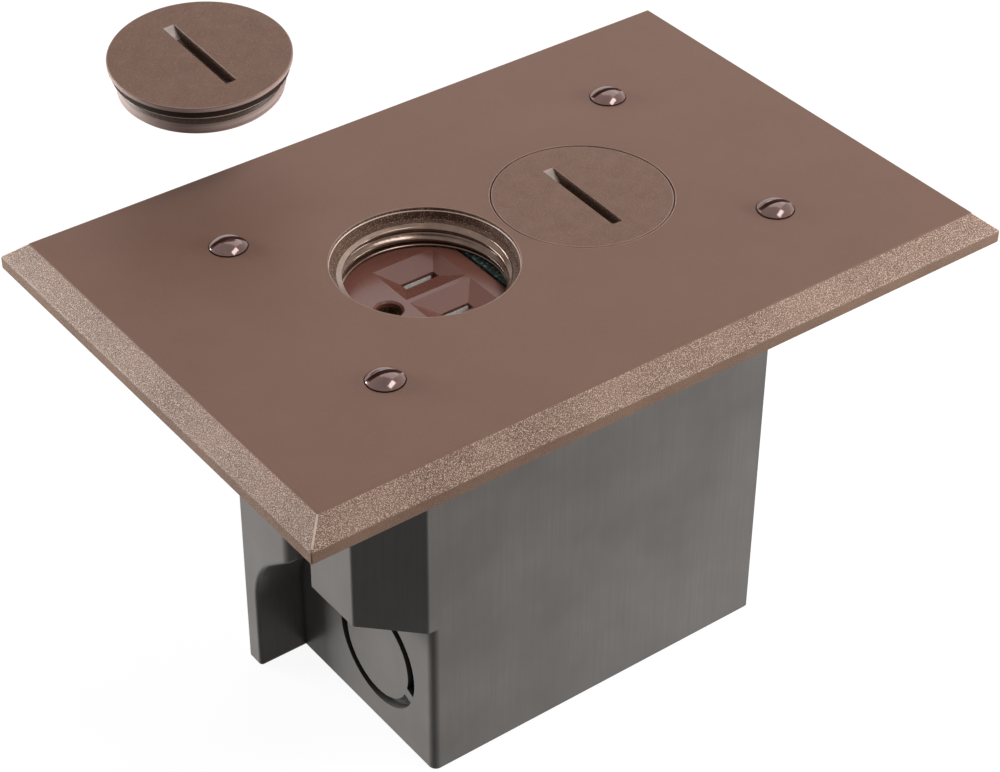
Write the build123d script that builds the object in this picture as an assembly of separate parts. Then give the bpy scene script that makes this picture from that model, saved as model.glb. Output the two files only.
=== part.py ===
from build123d import *
import math
import os

os.makedirs("parts", exist_ok=True)

# All sizes are in millimetres. The origin is at the middle of the box's underside, +Z is up,
# and +X runs along the cover plate. The two ends of the box are alike, half a turn apart.

# Cover plate: a shallow tray with bevelled edges, screwed down over the box
PLATE_LENGTH = 165.0
PLATE_WIDTH = 110.0
BEVEL_WIDTH = 4.4
BEVEL_DROP = 3.8
EDGE_HEIGHT = 2.8
PLATE_THICKNESS = 3.2
SKIRT_WIDTH = 5.5
RIM_ROUNDING = 0.4

# Threaded openings over the two outlets
OPENING_SPACING = 38.9
OPENING_DEPTH = 7.8
COLLAR_WALL = 2.4
THREAD_BORE_RADIUS = 17.0
SEAT_DEPTH = 2.6

# Screw-in plugs
DISC_RADIUS = 18.45
DISC_THICKNESS = 1.1
DISC_CLEARANCE = 0.1
PLUG_HEIGHT = 7.5
PLUG_THREAD_CLEARANCE = 0.3
PLUG_WALL = 2.4
PLUG_ROOF = 5.2
PLUG_LEAD_CHAMFER = 0.8
COIN_SLOT_LENGTH = 23.4
COIN_SLOT_WIDTH = 2.4
COIN_SLOT_DEPTH = 2.8
COIN_SLOT_SWEEP = 7.2
SEAL_EDGE_GAP = 0.65

# The loose plug, shown lifted off and tipped a little: middle of its top over the plate's
LOOSE_X = -35.1
LOOSE_Y = 54.2
LOOSE_LIFT = 26.0
LOOSE_TILT = 4.9
LOOSE_TILT_HEADING = -37.2

# How far the set plug is turned from square to the plate
SET_TURN = -1.8

# Cover screws: slotted oval heads in countersinks
COVER_SCREW_FROM_END = 1.7
COVER_SCREW_PAST_SIDE = 0.4
COVER_SCREW_RADIUS = 1.75
COVER_SCREW_LENGTH = 11.5
COVER_HEAD_RADIUS = 3.7
COVER_HEAD_DOME = 1.7
COVER_HEAD_CONE = 1.9
COUNTERSINK_GAP = 0.35
SCREW_SLOT_WIDTH = 0.9
SCREW_SLOT_DEPTH = 1.2
INSERT_RADIUS = 2.5
INSERT_LENGTH = 8.0
BOSS_WALL = 1.9
BOSS_FLOOR = 3.5

# Box moulding
BOX_DEPTH = 101.7
BOX_END_MARGIN = 7.45
BOX_WIDTH = 52.6
WALL = 2.5
FLOOR_WALL = 2.6
BODY_END_GAP = 0.5
CORNER_ROUNDING = 1.8
BASE_ROUNDING = 1.0
FLANGE_THICKNESS = 2.0
FLANGE_PAST_END = 7.9
FLANGE_PAST_SIDE = 9.2
FLANGE_ROUNDING = 6.0
HEAD_DEPTH = 9.7
LEDGE_DROP = 7.2
LEDGE_THICKNESS = 8.0

# End towers, and the slot between them that the clamp climbs in
TOWER_OVER_KNOCKOUT = 6.5
TOWER_EDGE_ROUNDING = 0.9
TOWER_CHAMFER = 10.9
SLOT_NEAR_Y = -0.5
SLOT_WIDTH = 8.5
SLOT_EDGE_ROUNDING = 2.4
RIB_THICKNESS = 4.2
RIB_EDGE_ROUNDING = 0.9
POCKET_REACH = 5.0
POCKET_SLOPE = 0.82
POCKET_ROUNDING = 18.0

# Knockout in each end wall: a ring groove left with two bridges
KNOCKOUT_Y = -6.3
KNOCKOUT_HEIGHT = 20.1
KNOCKOUT_RADIUS = 11.1
KNOCKOUT_GROOVE = 2.3
KNOCKOUT_SKIN = 0.6
KNOCKOUT_BRIDGE = 2.4
KNOCKOUT_BRIDGE_ANGLE = 201.0

# Clamp at each end: a screw, a nut that climbs on it and a wing that swings on the nut
CLAMP_INSET = 3.8
CLAMP_Y = 3.8
CLAMP_SCREW_RADIUS = 1.75
CLAMP_HEAD_RADIUS = 3.0
CLAMP_HEAD_HEIGHT = 1.6
CLAMP_HOLE_GAP = 0.15
RUNNING_GAP = 0.05
NUT_COLLAR_WALL = 0.65
NUT_PLATE = 1.6
NUT_SIDE_GAP = 0.35
NUT_LENGTH = 6.6
WING_HUB_WALL = 1.15
WING_HEIGHT = 7.0
WING_REACH = 14.0
WING_ARM_WIDTH = 4.2
WING_TIP_WIDTH = 3.4
WING_TOOTH = 0.6
WING_TEETH = 3
WING_CLEARANCE = 0.5
THICKEST_FLOOR = 38.1
SCREW_TAIL = 2.5

# Duplex receptacle
STRAP_THICKNESS = 1.2
STRAP_END = 4.55
STRAP_WIDTH = 24.0
STRAP_WINDOW_WIDTH = 18.0
STRAP_WINDOW_MARGIN = 0.5
STRAP_CORNER = 2.0
STRAP_NECK_WIDTH = 20.0
DEVICE_SCREW_MARGIN = 7.25
DEVICE_SCREW_RADIUS = 1.7
DEVICE_SCREW_LENGTH = 7.0
DEVICE_HEAD_RADIUS = 3.4
DEVICE_HEAD_HEIGHT = 1.9
SCREW_HOLE_GAP = 0.1
DEVICE_BOSS_FLOOR = 1.0
FACE_MARGIN = 0.65
BODY_WIDTH = 33.2
BODY_HEIGHT = 25.7
BODY_ROUNDING = 2.0
FACE_BASE = 2.3
FACE_GAP = 0.2
FACE_RADIUS = 17.45
FACE_FLAT = 14.3
FACE_EDGE_ROUNDING = 0.5
SLOT_PITCH = 12.7
SLOT_OFFSET = 3.2
NEUTRAL_SLOT_LENGTH = 7.9
LIVE_SLOT_LENGTH = 6.4
BLADE_SLOT_WIDTH = 1.9
FUNNEL_DEPTH = 1.6
FUNNEL_LENGTH = 14.6
FUNNEL_WIDTH = 11.6
GROUND_OFFSET = 11.9
GROUND_HOLE_RADIUS = 2.7
GROUND_RIM = 0.4
GASKET_WIDTH = 41.0
GASKET_GAP = 0.4

# Contacts and terminals inside the receptacle
LEAF_THICKNESS = 0.6
LEAF_GAP = 0.75
LEAF_WIDTH = 6.5
FACE_SKIN = 0.6
CONTACT_FLOOR = 10.0
STRIP_THICKNESS = 0.8
STRIP_PAST_LEAF = 0.6
STRIP_HEIGHT = 14.0
STRIP_INSET = 0.8
CONTACT_CLEARANCE = 0.15
TERMINAL_X = 11.5
TERMINAL_HEAD_RADIUS = 4.0
TERMINAL_HEAD_HEIGHT = 2.2
TERMINAL_RADIUS = 1.7
TERMINAL_LENGTH = 5.0
TERMINAL_ROOM = 1.0
SLEEVE_WALL = 0.6
GROUND_SKIN = 1.3
SLEEVE_GRIP = 0.1
GROUND_BAR_WIDTH = 5.0
GROUND_BAR_THICKNESS = 0.8
TAB_LENGTH = 8.6
TAB_WIDTH = 8.0
TAB_GAP = 0.6
GROUND_SCREW_RADIUS = 1.9
GROUND_SCREW_LENGTH = 7.0
BODY_SCREW_Y = 6.2
BODY_SCREW_RADIUS = 1.3
BODY_SCREW_HEAD = 2.4
BODY_SCREW_HEAD_HEIGHT = 1.8
BODY_SCREW_TOP_DROP = 1.2

# How far a cut runs past the face it opens
CUT = 1.0

# Heights
FLOOR_LEVEL = BOX_DEPTH
PLATE_TOP = FLOOR_LEVEL + EDGE_HEIGHT + BEVEL_DROP
PLATE_UNDERSIDE = PLATE_TOP - PLATE_THICKNESS
COLLAR_BOTTOM = PLATE_TOP - OPENING_DEPTH
FLANGE_TOP = FLOOR_LEVEL + FLANGE_THICKNESS
LEDGE = FLOOR_LEVEL - LEDGE_DROP
LEDGE_UNDERSIDE = LEDGE - LEDGE_THICKNESS
TOWER_BOTTOM = KNOCKOUT_HEIGHT + KNOCKOUT_RADIUS + KNOCKOUT_GROOVE + TOWER_OVER_KNOCKOUT
STRAP_TOP = LEDGE + STRAP_THICKNESS
FACE_SHOULDER = STRAP_TOP + FACE_BASE
FACE_TOP = COLLAR_BOTTOM - FACE_GAP
BODY_BOTTOM = STRAP_TOP - BODY_HEIGHT
SLOT_POCKET_ROOF = FACE_TOP - FUNNEL_DEPTH - FACE_SKIN
GROUND_POCKET_ROOF = FACE_TOP - GROUND_SKIN
CONTACT_BOTTOM = BODY_BOTTOM + CONTACT_FLOOR
WING_TOP = FLOOR_LEVEL - THICKEST_FLOOR
WING_BOTTOM = WING_TOP - WING_HEIGHT
INSERT_BOTTOM = FLANGE_TOP - INSERT_LENGTH

# Plan positions shared by several pieces
BODY_LENGTH = OPENING_SPACING + 2 * (FACE_FLAT + FACE_MARGIN)
RECESS_X = BODY_LENGTH / 2 + BODY_END_GAP + WALL
DEVICE_SCREW_X = BODY_LENGTH / 2 + DEVICE_SCREW_MARGIN
STRAP_LENGTH = 2 * (DEVICE_SCREW_X + STRAP_END)
STRIP_LENGTH = OPENING_SPACING + 2 * (SLOT_OFFSET + LEAF_WIDTH / 2 + STRIP_PAST_LEAF)
END_X = DEVICE_SCREW_X + BOX_END_MARGIN
SIDE_Y = BOX_WIDTH / 2
SLOT_FAR_Y = SLOT_NEAR_Y + SLOT_WIDTH
CLAMP_X = END_X - CLAMP_INSET
OUTLETS = [-OPENING_SPACING / 2, OPENING_SPACING / 2]
FLANGE_LENGTH = 2 * (END_X + FLANGE_PAST_END)
FLANGE_WIDTH = 2 * (SIDE_Y + FLANGE_PAST_SIDE)
COVER_SCREW_X = END_X - COVER_SCREW_FROM_END
COVER_SCREW_Y = SIDE_Y + COVER_SCREW_PAST_SIDE
CORNERS = [(sx * COVER_SCREW_X, sy * COVER_SCREW_Y) for sx in (-1, 1) for sy in (-1, 1)]
SEAT_RADIUS = DISC_RADIUS + DISC_CLEARANCE
NECK_RADIUS = THREAD_BORE_RADIUS - PLUG_THREAD_CLEARANCE
SLEEVE_RADIUS = GROUND_HOLE_RADIUS + SLEEVE_WALL
BOSS_RADIUS = INSERT_RADIUS + BOSS_WALL
NUT_BORE = CLAMP_SCREW_RADIUS + RUNNING_GAP
NUT_COLLAR = NUT_BORE + NUT_COLLAR_WALL
WING_BORE = NUT_COLLAR + RUNNING_GAP
WING_HUB = WING_BORE + WING_HUB_WALL


def block(x0, x1, y0, y1, z0, z1):
    """A box between two opposite corners."""
    middle = ((x0 + x1) / 2, (y0 + y1) / 2, (z0 + z1) / 2)
    return Pos(*middle) * Box(abs(x1 - x0), abs(y1 - y0), abs(z1 - z0))


def rod(radius, x, y, z0, z1):
    """An upright cylinder between two heights."""
    return Pos(x, y, (z0 + z1) / 2) * Cylinder(radius, abs(z1 - z0))


def cone(lower, upper, x, y, z0, z1):
    """An upright cone frustum between two heights."""
    return Pos(x, y, (z0 + z1) / 2) * Cone(lower, upper, z1 - z0)


def prism(points, z0, z1):
    """A plan outline pulled up from one height to another."""
    return extrude(Pos(0, 0, z0) * make_face(Polyline(*points, close=True)), z1 - z0)


def rounded_block(length, width, rounding, z0, z1):
    """A centred plan rectangle with rounded corners between two heights."""
    return extrude(Pos(0, 0, z0) * RectangleRounded(length, width, rounding), z1 - z0)


def both_ends(shape):
    """The left end's shape and the same half a turn round."""
    return [shape, shape.rotate(Axis.Z, 180)]


def upright_edges(shape, x, y):
    """Vertical edges that stand at one plan position."""
    return shape.edges().filter_by(Axis.Z).filter_by(
        lambda e: abs(e.center().X - x) < 0.01 and abs(e.center().Y - y) < 0.01
    )


def slotted_head(x, y, radius, z_top):
    """The driver slot cut across a screw head, along X."""
    return block(
        x - radius - CUT, x + radius + CUT,
        y - SCREW_SLOT_WIDTH / 2, y + SCREW_SLOT_WIDTH / 2,
        z_top - SCREW_SLOT_DEPTH, z_top + CUT,
    )


def dome(x, y, radius, height, z):
    """A low spherical cap that stands on a height."""
    ball = (radius ** 2 + height ** 2) / (2 * height)
    cap = Pos(x, y, z + height - ball) * Sphere(ball)
    return cap & rod(radius, x, y, z, z + height + CUT)


def cover_plate():
    half_x, half_y = PLATE_LENGTH / 2, PLATE_WIDTH / 2
    edge_top = FLOOR_LEVEL + EDGE_HEIGHT
    plate = block(-half_x, half_x, -half_y, half_y, FLOOR_LEVEL, edge_top)
    lower = Pos(0, 0, edge_top) * Rectangle(PLATE_LENGTH, PLATE_WIDTH)
    upper = Pos(0, 0, PLATE_TOP) * Rectangle(
        PLATE_LENGTH - 2 * BEVEL_WIDTH, PLATE_WIDTH - 2 * BEVEL_WIDTH
    )
    plate += loft([lower, upper])
    plate -= rounded_block(
        PLATE_LENGTH - 2 * SKIRT_WIDTH, PLATE_WIDTH - 2 * SKIRT_WIDTH, RIM_ROUNDING,
        FLOOR_LEVEL, PLATE_UNDERSIDE,
    )
    for x in OUTLETS:
        plate += rod(THREAD_BORE_RADIUS + COLLAR_WALL, x, 0, COLLAR_BOTTOM, PLATE_UNDERSIDE)
    for x in OUTLETS:
        plate -= rod(THREAD_BORE_RADIUS, x, 0, COLLAR_BOTTOM, PLATE_TOP)
        plate -= rod(SEAT_RADIUS, x, 0, PLATE_TOP - SEAT_DEPTH, PLATE_TOP)
    sink = COVER_HEAD_RADIUS + COUNTERSINK_GAP
    through = COVER_SCREW_RADIUS + COUNTERSINK_GAP
    for x, y in CORNERS:
        plate -= rod(through, x, y, PLATE_UNDERSIDE, PLATE_TOP)
        plate -= cone(through, sink, x, y, PLATE_TOP - COVER_HEAD_CONE, PLATE_TOP)
    return plate


def cover_gasket():
    ring = rounded_block(FLANGE_LENGTH, FLANGE_WIDTH, FLANGE_ROUNDING, FLANGE_TOP, PLATE_UNDERSIDE)
    ring -= block(
        -END_X + WALL, END_X - WALL, -SIDE_Y + WALL, SIDE_Y - WALL, FLANGE_TOP, PLATE_UNDERSIDE
    )
    for x, y in CORNERS:
        ring -= rod(COVER_SCREW_RADIUS + COUNTERSINK_GAP, x, y, FLANGE_TOP, PLATE_UNDERSIDE)
    return ring


def cover_screw(x, y):
    shank_bottom = PLATE_TOP - COVER_SCREW_LENGTH
    screw = rod(COVER_SCREW_RADIUS, x, y, shank_bottom, PLATE_TOP - COVER_HEAD_CONE)
    screw += cone(
        COVER_SCREW_RADIUS, COVER_HEAD_RADIUS, x, y, PLATE_TOP - COVER_HEAD_CONE, PLATE_TOP
    )
    screw += dome(x, y, COVER_HEAD_RADIUS, COVER_HEAD_DOME, PLATE_TOP)
    return screw - slotted_head(x, y, COVER_HEAD_RADIUS, PLATE_TOP + COVER_HEAD_DOME)


def screw_insert(x, y):
    insert = rod(INSERT_RADIUS, x, y, INSERT_BOTTOM, FLANGE_TOP)
    return insert - rod(COVER_SCREW_RADIUS + RUNNING_GAP, x, y, INSERT_BOTTOM, FLANGE_TOP)


def coin_slot():
    """The slot's room: a flat floor that curves up to the top at both ends, as a coin does."""
    run = math.sqrt(COIN_SLOT_SWEEP ** 2 - (COIN_SLOT_SWEEP - COIN_SLOT_DEPTH) ** 2)
    straight = COIN_SLOT_LENGTH / 2 - run
    room = block(
        -COIN_SLOT_WIDTH / 2, COIN_SLOT_WIDTH / 2, -straight, straight, -COIN_SLOT_DEPTH, 0
    )
    for y in (-straight, straight):
        wheel = Rot(0, 90, 0) * Cylinder(COIN_SLOT_SWEEP, COIN_SLOT_WIDTH)
        room += Pos(0, y, COIN_SLOT_SWEEP - COIN_SLOT_DEPTH) * wheel
    return room


def plug_cap():
    """A plug with the middle of its top at the origin: disc, neck, hollow and coin slot."""
    cap = rod(DISC_RADIUS, 0, 0, -DISC_THICKNESS, 0)
    neck = rod(NECK_RADIUS, 0, 0, -PLUG_HEIGHT, -DISC_THICKNESS)
    cap += chamfer(neck.edges().group_by(Axis.Z)[0], PLUG_LEAD_CHAMFER)
    cap -= rod(NECK_RADIUS - PLUG_WALL, 0, 0, -PLUG_HEIGHT, -PLUG_ROOF)
    return cap - coin_slot()


def plug_seal():
    """The flat rubber ring under a plug's disc."""
    ring = rod(SEAT_RADIUS - SEAL_EDGE_GAP, 0, 0, -SEAT_DEPTH, -DISC_THICKNESS)
    return ring - rod(NECK_RADIUS, 0, 0, -SEAT_DEPTH, -DISC_THICKNESS)


def seated(shape):
    """A plug's piece in the right-hand opening."""
    return Pos(OUTLETS[1], 0, PLATE_TOP) * shape.rotate(Axis.Z, SET_TURN)


def lifted_off(shape):
    """A plug's piece where the loose plug is shown."""
    heading = math.radians(LOOSE_TILT_HEADING)
    tip = Axis((0, 0, 0), (math.cos(heading), math.sin(heading), 0))
    return Pos(LOOSE_X, LOOSE_Y, PLATE_TOP + LOOSE_LIFT) * shape.rotate(tip, LOOSE_TILT)


def front_tower():
    """The left end's short tower, with its outer corner cut off at an angle."""
    outline = [
        (-END_X, SLOT_NEAR_Y),
        (-END_X, -SIDE_Y + TOWER_CHAMFER),
        (-END_X + TOWER_CHAMFER, -SIDE_Y),
        (-RECESS_X + WALL, -SIDE_Y),
        (-RECESS_X + WALL, SLOT_NEAR_Y),
    ]
    tower = prism(outline, TOWER_BOTTOM, FLOOR_LEVEL)
    edges = upright_edges(tower, *outline[1]) + upright_edges(tower, *outline[2])
    return fillet(edges, TOWER_EDGE_ROUNDING)


def rear_tower():
    """The left end's other tower, with the rib that runs on down to the floor of the box."""
    tower = block(-END_X, -RECESS_X + WALL, SLOT_FAR_Y, SIDE_Y, 0, FLOOR_LEVEL)
    edge = upright_edges(tower, -END_X, SLOT_FAR_Y)
    tower = fillet(edge, SLOT_EDGE_ROUNDING)
    rib_face = SIDE_Y - RIB_THICKNESS
    shoulder = TOWER_BOTTOM - POCKET_SLOPE * (rib_face - SLOT_FAR_Y)
    start = SLOT_FAR_Y - POCKET_REACH
    roof = [
        (start, -POCKET_REACH), (start, TOWER_BOTTOM + POCKET_REACH * POCKET_SLOPE),
        (rib_face, shoulder), (rib_face, -POCKET_REACH),
    ]
    outline = Plane.YZ * make_face(Polyline(*roof, close=True))
    bend = outline.vertices().filter_by(
        lambda v: abs(v.Y - rib_face) < 0.01 and abs(v.Z - shoulder) < 0.01
    )
    outline = fillet(bend, POCKET_ROUNDING)
    tower -= extrude(Pos(-END_X - CUT, 0, 0) * outline, END_X - RECESS_X + CUT)
    return fillet(upright_edges(tower, -END_X, rib_face), RIB_EDGE_ROUNDING)


def wing_notch():
    """The room for a folded wing in the front tower's inner corner."""
    return block(
        -END_X - CUT, -CLAMP_X + WING_ARM_WIDTH / 2 + WING_CLEARANCE,
        CLAMP_Y - WING_REACH - WING_CLEARANCE, SLOT_NEAR_Y + CUT,
        WING_BOTTOM - WING_CLEARANCE, LEDGE_UNDERSIDE,
    )


def tower_hollows():
    """The space inside the two left towers, open to the box."""
    inner_x = -END_X + WALL
    rear = block(
        inner_x, -RECESS_X + WALL + CUT, SLOT_FAR_Y + WALL, SIDE_Y - WALL,
        TOWER_BOTTOM + WALL, FLANGE_TOP,
    )
    notch_y = CLAMP_Y - WING_REACH - WING_CLEARANCE - WALL
    cut = -END_X - SIDE_Y + TOWER_CHAMFER + WALL * math.sqrt(2)
    outline = [
        (-RECESS_X + WALL + CUT, notch_y),
        (inner_x, notch_y),
        (inner_x, min(cut - inner_x, notch_y - 0.1)),
        (cut + SIDE_Y - WALL, -SIDE_Y + WALL),
        (-RECESS_X + WALL + CUT, -SIDE_Y + WALL),
    ]
    return [rear, prism(outline, TOWER_BOTTOM + WALL, FLANGE_TOP)]


def knockout_groove():
    """The ring groove on the outside of the left end wall, with its two bridges left standing."""
    depth = WALL - KNOCKOUT_SKIN
    place = Pos(-RECESS_X + depth / 2, KNOCKOUT_Y, KNOCKOUT_HEIGHT) * Rot(0, 90, 0)
    ring = place * Cylinder(KNOCKOUT_RADIUS + KNOCKOUT_GROOVE, depth)
    ring -= place * Cylinder(KNOCKOUT_RADIUS, depth)
    reach = 2 * (KNOCKOUT_RADIUS + KNOCKOUT_GROOVE + CUT)
    bridge = Box(2 * (depth + CUT), reach, KNOCKOUT_BRIDGE).rotate(Axis.X, KNOCKOUT_BRIDGE_ANGLE)
    return ring - Pos(-RECESS_X, KNOCKOUT_Y, KNOCKOUT_HEIGHT) * bridge


def box_shell():
    """The outside of the moulding: trunk, towers, head, flange and screw bosses."""
    shell = rounded_block(2 * RECESS_X, BOX_WIDTH, CORNER_ROUNDING, 0, FLOOR_LEVEL)
    for piece in both_ends(rear_tower()):
        shell += piece
    shell = fillet(shell.edges().group_by(Axis.Z)[0], BASE_ROUNDING)
    for piece in both_ends(front_tower()):
        shell += piece
    shell += block(-END_X, END_X, -SIDE_Y, SIDE_Y, FLOOR_LEVEL - HEAD_DEPTH, FLOOR_LEVEL)
    lintel = block(
        -END_X, -RECESS_X + WALL, SLOT_NEAR_Y - CUT, SLOT_FAR_Y + SLOT_EDGE_ROUNDING,
        LEDGE_UNDERSIDE, FLOOR_LEVEL,
    )
    for piece in both_ends(lintel):
        shell += piece
    shell += rounded_block(
        FLANGE_LENGTH, FLANGE_WIDTH, FLANGE_ROUNDING, FLOOR_LEVEL, FLANGE_TOP
    )
    for x, y in CORNERS:
        shell += rod(BOSS_RADIUS, x, y, INSERT_BOTTOM - BOSS_FLOOR, FLANGE_TOP)
    return shell


def box_body():
    box = box_shell()
    inner_y = SIDE_Y - WALL
    box -= block(
        -RECESS_X + WALL, RECESS_X - WALL, -inner_y, inner_y, FLOOR_WALL, FLANGE_TOP
    )
    box -= block(-END_X + WALL, END_X - WALL, -inner_y, inner_y, LEDGE, FLANGE_TOP)
    cuts = [wing_notch(), knockout_groove()] + tower_hollows()
    cuts.append(
        rod(DEVICE_SCREW_RADIUS + RUNNING_GAP, -DEVICE_SCREW_X, 0, LEDGE_UNDERSIDE + DEVICE_BOSS_FLOOR, LEDGE)
    )
    hole = CLAMP_SCREW_RADIUS + CLAMP_HOLE_GAP
    cuts.append(rod(hole, -CLAMP_X, CLAMP_Y, LEDGE_UNDERSIDE, LEDGE))
    cuts.append(rod(
        CLAMP_HEAD_RADIUS + CLAMP_HOLE_GAP, -CLAMP_X, CLAMP_Y, LEDGE - CLAMP_HEAD_HEIGHT, LEDGE
    ))
    for cut in cuts:
        for piece in both_ends(cut):
            box -= piece
    for x, y in CORNERS:
        box -= rod(INSERT_RADIUS, x, y, INSERT_BOTTOM, FLANGE_TOP)
    return box


def clamp_screw():
    bottom = WING_BOTTOM - NUT_PLATE - SCREW_TAIL
    seat = LEDGE - CLAMP_HEAD_HEIGHT
    screw = rod(CLAMP_SCREW_RADIUS, -CLAMP_X, CLAMP_Y, bottom, seat)
    screw += rod(CLAMP_HEAD_RADIUS, -CLAMP_X, CLAMP_Y, seat, LEDGE)
    return screw - slotted_head(-CLAMP_X, CLAMP_Y, CLAMP_HEAD_RADIUS, LEDGE)


def clamp_nut():
    """A nut with a flat that the slot's sides keep from turning, and a round collar."""
    middle = (SLOT_NEAR_Y + SLOT_FAR_Y) / 2
    half = SLOT_WIDTH / 2 - NUT_SIDE_GAP
    nut = block(
        -CLAMP_X - NUT_LENGTH / 2, -CLAMP_X + NUT_LENGTH / 2, middle - half, middle + half,
        WING_BOTTOM - NUT_PLATE, WING_BOTTOM,
    )
    nut += rod(NUT_COLLAR, -CLAMP_X, CLAMP_Y, WING_BOTTOM, WING_TOP)
    return nut - rod(NUT_BORE, -CLAMP_X, CLAMP_Y, WING_BOTTOM - NUT_PLATE, WING_TOP)


def clamp_wing():
    """The wing, folded under the front tower's notch and pointing along -Y."""
    root, tip = WING_ARM_WIDTH / 2, WING_TIP_WIDTH / 2
    outline = [
        (-CLAMP_X - root, CLAMP_Y), (-CLAMP_X + root, CLAMP_Y),
        (-CLAMP_X + tip, CLAMP_Y - WING_REACH), (-CLAMP_X - tip, CLAMP_Y - WING_REACH),
    ]
    arm = prism(outline, WING_BOTTOM, WING_TOP - WING_TOOTH)
    pitch = (WING_REACH - WING_HUB) / (WING_TEETH + 0.5)
    for count in range(WING_TEETH):
        y = CLAMP_Y - WING_REACH + pitch * count
        arm += Plane.YZ.offset(-CLAMP_X - tip) * extrude(
            make_face(Polyline(
                (y, WING_TOP - WING_TOOTH), (y, WING_TOP),
                (y + pitch / 2, WING_TOP - WING_TOOTH), close=True,
            )), 2 * tip,
        )
    wing = arm + rod(WING_HUB, -CLAMP_X, CLAMP_Y, WING_BOTTOM, WING_TOP)
    return wing - rod(WING_BORE, -CLAMP_X, CLAMP_Y, WING_BOTTOM, WING_TOP)


def face_outline(x, grow=0.0):
    """One outlet's face in plan: a circle with two flats, or the same grown all round."""
    disc = Circle(FACE_RADIUS + grow)
    return Pos(x, 0) * (disc & Rectangle(2 * (FACE_FLAT + grow), 4 * FACE_RADIUS))


def blade_slots(x):
    """The two blade slots of an outlet as (middle x, middle y, length)."""
    return [
        (x + SLOT_OFFSET, SLOT_PITCH / 2, NEUTRAL_SLOT_LENGTH),
        (x + SLOT_OFFSET, -SLOT_PITCH / 2, LIVE_SLOT_LENGTH),
    ]


def funnel(x, y, length):
    """A hipped recess that leads a blade to its slot."""
    upper = Pos(x, y, FACE_TOP) * Rectangle(FUNNEL_LENGTH, FUNNEL_WIDTH)
    lower = Pos(x, y, FACE_TOP - FUNNEL_DEPTH) * Rectangle(length, BLADE_SLOT_WIDTH)
    return loft([lower, upper])


def outlet_face():
    face = rounded_block(BODY_LENGTH, BODY_WIDTH, BODY_ROUNDING, STRAP_TOP, FACE_SHOULDER)
    for x in OUTLETS:
        raised = extrude(Pos(0, 0, FACE_SHOULDER) * face_outline(x), FACE_TOP - FACE_SHOULDER)
        face += fillet(raised.edges().group_by(Axis.Z)[-1], FACE_EDGE_ROUNDING)
    pocket = LEAF_GAP + LEAF_THICKNESS + CONTACT_CLEARANCE
    for x in OUTLETS:
        for sx, sy, length in blade_slots(x):
            face -= funnel(sx, sy, length)
            face -= block(
                sx - length / 2, sx + length / 2, sy - BLADE_SLOT_WIDTH / 2,
                sy + BLADE_SLOT_WIDTH / 2, STRAP_TOP, FACE_TOP,
            )
            face -= block(
                sx - LEAF_WIDTH / 2 - CONTACT_CLEARANCE, sx + LEAF_WIDTH / 2 + CONTACT_CLEARANCE,
                sy - pocket, sy + pocket, STRAP_TOP, SLOT_POCKET_ROOF,
            )
        ground = x + SLOT_OFFSET - GROUND_OFFSET
        rim = GROUND_HOLE_RADIUS + GROUND_RIM
        face -= rod(GROUND_HOLE_RADIUS, ground, 0, STRAP_TOP, FACE_TOP)
        face -= cone(GROUND_HOLE_RADIUS, rim, ground, 0, FACE_TOP - GROUND_RIM, FACE_TOP)
        face -= rod(SLEEVE_RADIUS + CONTACT_CLEARANCE, ground, 0, STRAP_TOP, GROUND_POCKET_ROOF)
    for side in (-1, 1):
        face -= rod(
            BODY_SCREW_RADIUS, 0, side * BODY_SCREW_Y, STRAP_TOP, FACE_SHOULDER - BODY_SCREW_TOP_DROP
        )
    return face


def device_gasket():
    """The black foam pad round the two outlet faces."""
    pad = rounded_block(BODY_LENGTH, GASKET_WIDTH, BODY_ROUNDING, FACE_SHOULDER, FACE_TOP)
    for x in OUTLETS:
        pad -= extrude(
            Pos(0, 0, FACE_SHOULDER) * face_outline(x, GASKET_GAP), FACE_TOP - FACE_SHOULDER
        )
    return pad


def contact_strip(side, spare=0.0):
    """One side's contacts: terminal strip, cross tabs and two spring leaves for each outlet.

    With some spare it is the room that the receptacle's body leaves for them.
    """
    outer = BODY_WIDTH / 2 - STRIP_INSET
    top = SLOT_POCKET_ROOF - CONTACT_CLEARANCE
    bar = block(
        -STRIP_LENGTH / 2 - spare, STRIP_LENGTH / 2 + spare,
        side * (outer - STRIP_THICKNESS - spare), side * (outer + spare),
        CONTACT_BOTTOM - spare, CONTACT_BOTTOM + STRIP_HEIGHT + spare,
    )
    inner = SLOT_PITCH / 2 - LEAF_GAP - LEAF_THICKNESS
    half = LEAF_WIDTH / 2 + spare
    for x in OUTLETS:
        sx = x + SLOT_OFFSET
        bar += block(
            sx - half, sx + half, side * (inner - spare), side * outer,
            CONTACT_BOTTOM - spare, CONTACT_BOTTOM + STRIP_THICKNESS + spare,
        )
        for gap in (-LEAF_GAP - LEAF_THICKNESS, LEAF_GAP):
            low = SLOT_PITCH / 2 + gap
            bar += block(
                sx - half, sx + half, side * (low - spare), side * (low + LEAF_THICKNESS + spare),
                CONTACT_BOTTOM, top,
            )
    if not spare:
        for x in (-TERMINAL_X, TERMINAL_X):
            hole = Pos(x, side * outer, terminal_height()) * Rot(90, 0, 0)
            bar -= hole * Cylinder(TERMINAL_RADIUS, 4 * STRIP_THICKNESS)
    return bar


def terminal_height():
    return CONTACT_BOTTOM + STRIP_HEIGHT / 2


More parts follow.
